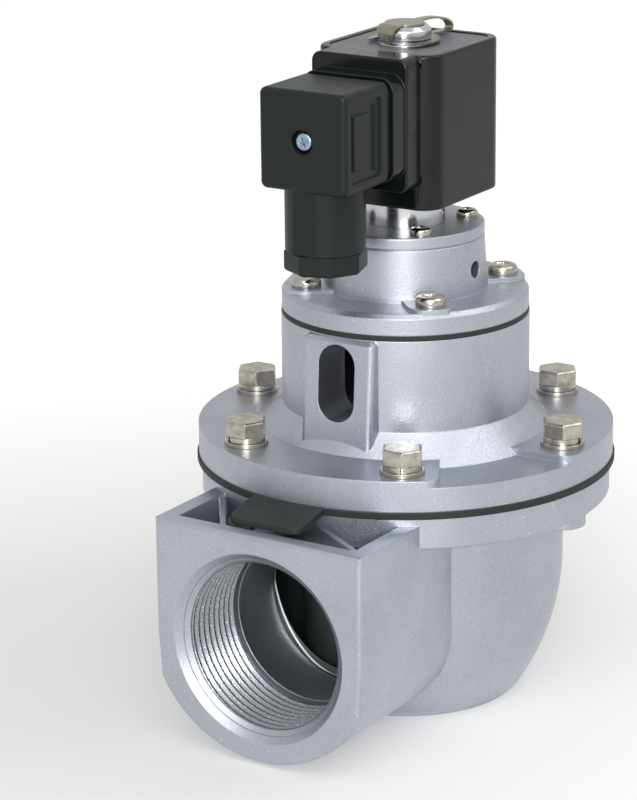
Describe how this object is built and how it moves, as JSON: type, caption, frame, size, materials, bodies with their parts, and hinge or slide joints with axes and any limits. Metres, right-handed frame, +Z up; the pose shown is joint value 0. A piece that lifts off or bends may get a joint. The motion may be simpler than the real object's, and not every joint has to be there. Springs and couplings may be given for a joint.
{
  "type": "dust collector pulse valve",
  "caption": "Right-angle diaphragm pulse valve with threaded ports, bolted bonnet and a solenoid pilot with plug connector.",
  "frame": {"origin": "centre of the outlet's face, at the foot of the body", "axes": "+Z up the valve's axis, away from the outlet; -Y out of the inlet's mouth; +X to the right, seen from the inlet"},
  "size_m": [0.1128, 0.1304, 0.1825],
  "materials": {
    "cast_aluminium": "blasted die casting, satin",
    "rubber": "smooth moulded nitrile rubber",
    "stainless_steel": "bright stainless fastener",
    "turned_steel": "turned stainless steel",
    "spring_steel": "drawn spring steel",
    "coil_moulding": "glossy black moulding",
    "connector_nylon": "satin black glass-filled nylon",
    "natural_nylon": "natural nylon",
    "copper_wire": "enamelled copper wire",
    "zinc_plate": "zinc-plated steel"
  },
  "bodies": {
    "root": {"valve_body": "cast_aluminium", "main_diaphragm": "rubber", "main_spring": "spring_steel", "bonnet": "cast_aluminium", "bonnet_flat_washers": "stainless_steel", "bonnet_spring_washers": "stainless_steel", "bonnet_bolts": "stainless_steel", "small_diaphragm": "rubber", "small_spring": "spring_steel", "pilot_cover": "cast_aluminium", "pilot_cover_screws": "stainless_steel", "pilot_cap": "cast_aluminium", "pilot_cap_screws": "stainless_steel", "collar_seal": "rubber", "armature_tube": "turned_steel", "fixed_core": "turned_steel", "plunger_spring": "spring_steel", "coil_washer": "spring_steel", "coil_clip": "spring_steel"},
    "main_piston": {"main_seal_disc": "rubber", "main_backing_plate": "stainless_steel", "main_centre_bolt": "stainless_steel", "main_centre_nut": "stainless_steel"},
    "small_piston": {"small_seal_disc": "rubber", "small_backing_plate": "stainless_steel", "small_rivet": "stainless_steel"},
    "plunger": {"plunger": "turned_steel", "plunger_seal": "rubber"},
    "coil": {"coil_housing": "coil_moulding", "coil_yoke": "zinc_plate", "coil_bobbin": "natural_nylon", "coil_winding": "copper_wire", "terminal_blades": "zinc_plate", "connector_gasket": "rubber", "connector_housing": "connector_nylon", "connector_insert": "connector_nylon", "connector_screw": "zinc_plate", "gland_nut": "connector_nylon", "gland_washer": "zinc_plate", "gland_grommet": "rubber"}
  },
  "joints": [
    {"name": "main_lift", "type": "slide", "parent": "root", "child": "main_piston", "axis": [0, 0, 1], "range_m": [0, 0.0065], "stiffness_N_per_m": 900, "springref_m": -0.006, "deforming": ["main_diaphragm", "main_spring"]},
    {"name": "secondary_lift", "type": "slide", "parent": "root", "child": "small_piston", "axis": [0, 0, 1], "range_m": [0, 0.0024], "stiffness_N_per_m": 600, "springref_m": -0.004, "deforming": ["small_diaphragm", "small_spring"]},
    {"name": "plunger_lift", "type": "slide", "parent": "root", "child": "plunger", "axis": [0, 0, 1], "range_m": [0, 0.002], "stiffness_N_per_m": 500, "springref_m": -0.004, "deforming": ["plunger_spring"]},
    {"name": "coil_swivel", "type": "hinge", "parent": "root", "child": "coil", "pos_m": [0, 0, 0.157], "axis": [0, 0, 1], "continuous": true}
  ]
}
